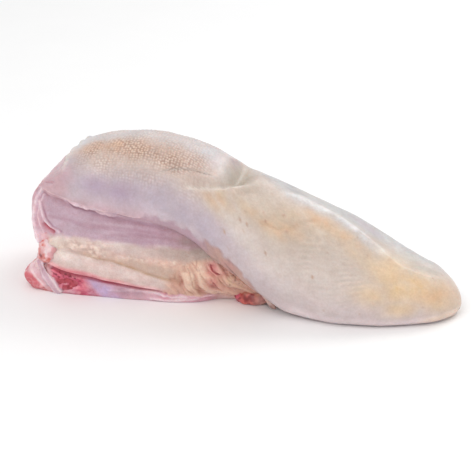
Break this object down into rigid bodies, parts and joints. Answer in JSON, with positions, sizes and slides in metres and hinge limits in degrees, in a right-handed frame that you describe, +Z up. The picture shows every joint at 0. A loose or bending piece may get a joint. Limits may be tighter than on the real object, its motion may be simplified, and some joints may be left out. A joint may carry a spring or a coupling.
{
  "type": "beef tongue",
  "caption": "Whole raw beef tongue lying on its underside: a high rough hump at the cut root, a smooth rounded blade, and fatty red flesh showing along its flanks.",
  "frame": {"origin": "middle of the footprint, on the surface that the tongue lies on", "axes": "+X towards the tip, -Y towards the flank on which the blade leans, +Z up"},
  "size_m": [0.3402, 0.1002, 0.1224],
  "materials": {
    "tongue": "moist satin, raw skin and flesh"
  },
  "bodies": {
    "root": {"beef_tongue": "tongue"}
  },
  "joints": []
}
